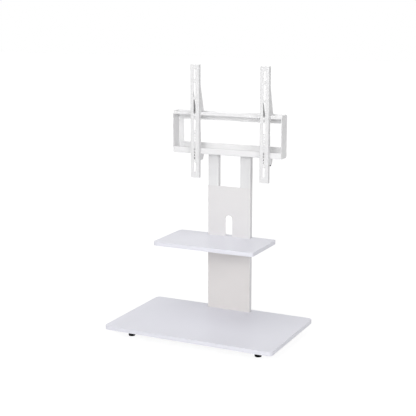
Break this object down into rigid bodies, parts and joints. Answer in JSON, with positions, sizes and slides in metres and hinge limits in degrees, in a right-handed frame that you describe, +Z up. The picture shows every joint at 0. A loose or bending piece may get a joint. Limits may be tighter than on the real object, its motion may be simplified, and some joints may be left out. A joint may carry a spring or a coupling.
{
  "type": "television floor stand",
  "caption": "Floor stand for a screen: broad base board, twin-tube column with shelf, and a hook-on bracket with sliding slotted rails.",
  "frame": {"origin": "on the floor, under the middle of the base board", "axes": "+Z up, the front faces -Y, +X to the right seen from the front"},
  "size_m": [0.71, 0.439, 1.056],
  "materials": {
    "white_board": "white coated board, glossy",
    "white_steel": "white powder coat",
    "zinc_steel": "zinc plated",
    "black_steel": "black finish",
    "black_rubber": "matte black"
  },
  "bodies": {
    "stand": {"base_board": "white_board", "foot_inserts": "zinc_steel", "lower_upright_left": "white_steel", "lower_upright_right": "white_steel", "lower_plugs": "zinc_steel", "anchor_plugs": "zinc_steel", "top_plugs": "zinc_steel", "tie_rods": "zinc_steel", "rod_washers": "zinc_steel", "lower_panel": "white_steel", "upper_panel": "white_steel", "panel_screws": "zinc_steel", "shelf_board": "white_board", "upper_upright_left": "white_steel", "upper_upright_right": "white_steel", "frame_top_bar": "white_steel", "frame_bottom_bar": "white_steel", "frame_end_left": "white_steel", "frame_end_right": "white_steel", "frame_rivets": "white_steel", "frame_bolts": "zinc_steel", "frame_washers": "zinc_steel"},
    "foot_front_left": {"foot_pad_front_left": "black_rubber", "foot_stem_front_left": "zinc_steel"},
    "foot_front_right": {"foot_pad_front_right": "black_rubber", "foot_stem_front_right": "zinc_steel"},
    "foot_rear_left": {"foot_pad_rear_left": "black_rubber", "foot_stem_rear_left": "zinc_steel"},
    "foot_rear_right": {"foot_pad_rear_right": "black_rubber", "foot_stem_rear_right": "zinc_steel"},
    "rail_left": {"rail_left": "white_steel", "lock_nut_left": "zinc_steel"},
    "lock_left": {"lock_screw_left": "black_steel"},
    "rail_right": {"rail_right": "white_steel", "lock_nut_right": "zinc_steel"},
    "lock_right": {"lock_screw_right": "black_steel"}
  },
  "joints": [
    {"name": "level_front_left", "type": "slide", "parent": "stand", "child": "foot_front_left", "axis": [0, 0, 1], "range_m": [-0.004, 0.0045]},
    {"name": "level_front_right", "type": "slide", "parent": "stand", "child": "foot_front_right", "axis": [0, 0, 1], "range_m": [-0.004, 0.0045]},
    {"name": "level_rear_left", "type": "slide", "parent": "stand", "child": "foot_rear_left", "axis": [0, 0, 1], "range_m": [-0.004, 0.0045]},
    {"name": "level_rear_right", "type": "slide", "parent": "stand", "child": "foot_rear_right", "axis": [0, 0, 1], "range_m": [-0.004, 0.0045]},
    {"name": "slide_left", "type": "slide", "parent": "stand", "child": "rail_left", "axis": [1, 0, 0], "range_m": [-0.0874, 0.105]},
    {"name": "turn_lock_left", "type": "slide", "parent": "rail_left", "child": "lock_left", "axis": [0, 0, 1], "range_m": [-0.012, 0.0003]},
    {"name": "slide_right", "type": "slide", "parent": "stand", "child": "rail_right", "axis": [1, 0, 0], "range_m": [-0.147, 0.0444]},
    {"name": "turn_lock_right", "type": "slide", "parent": "rail_right", "child": "lock_right", "axis": [0, 0, 1], "range_m": [-0.012, 0.0003]}
  ]
}
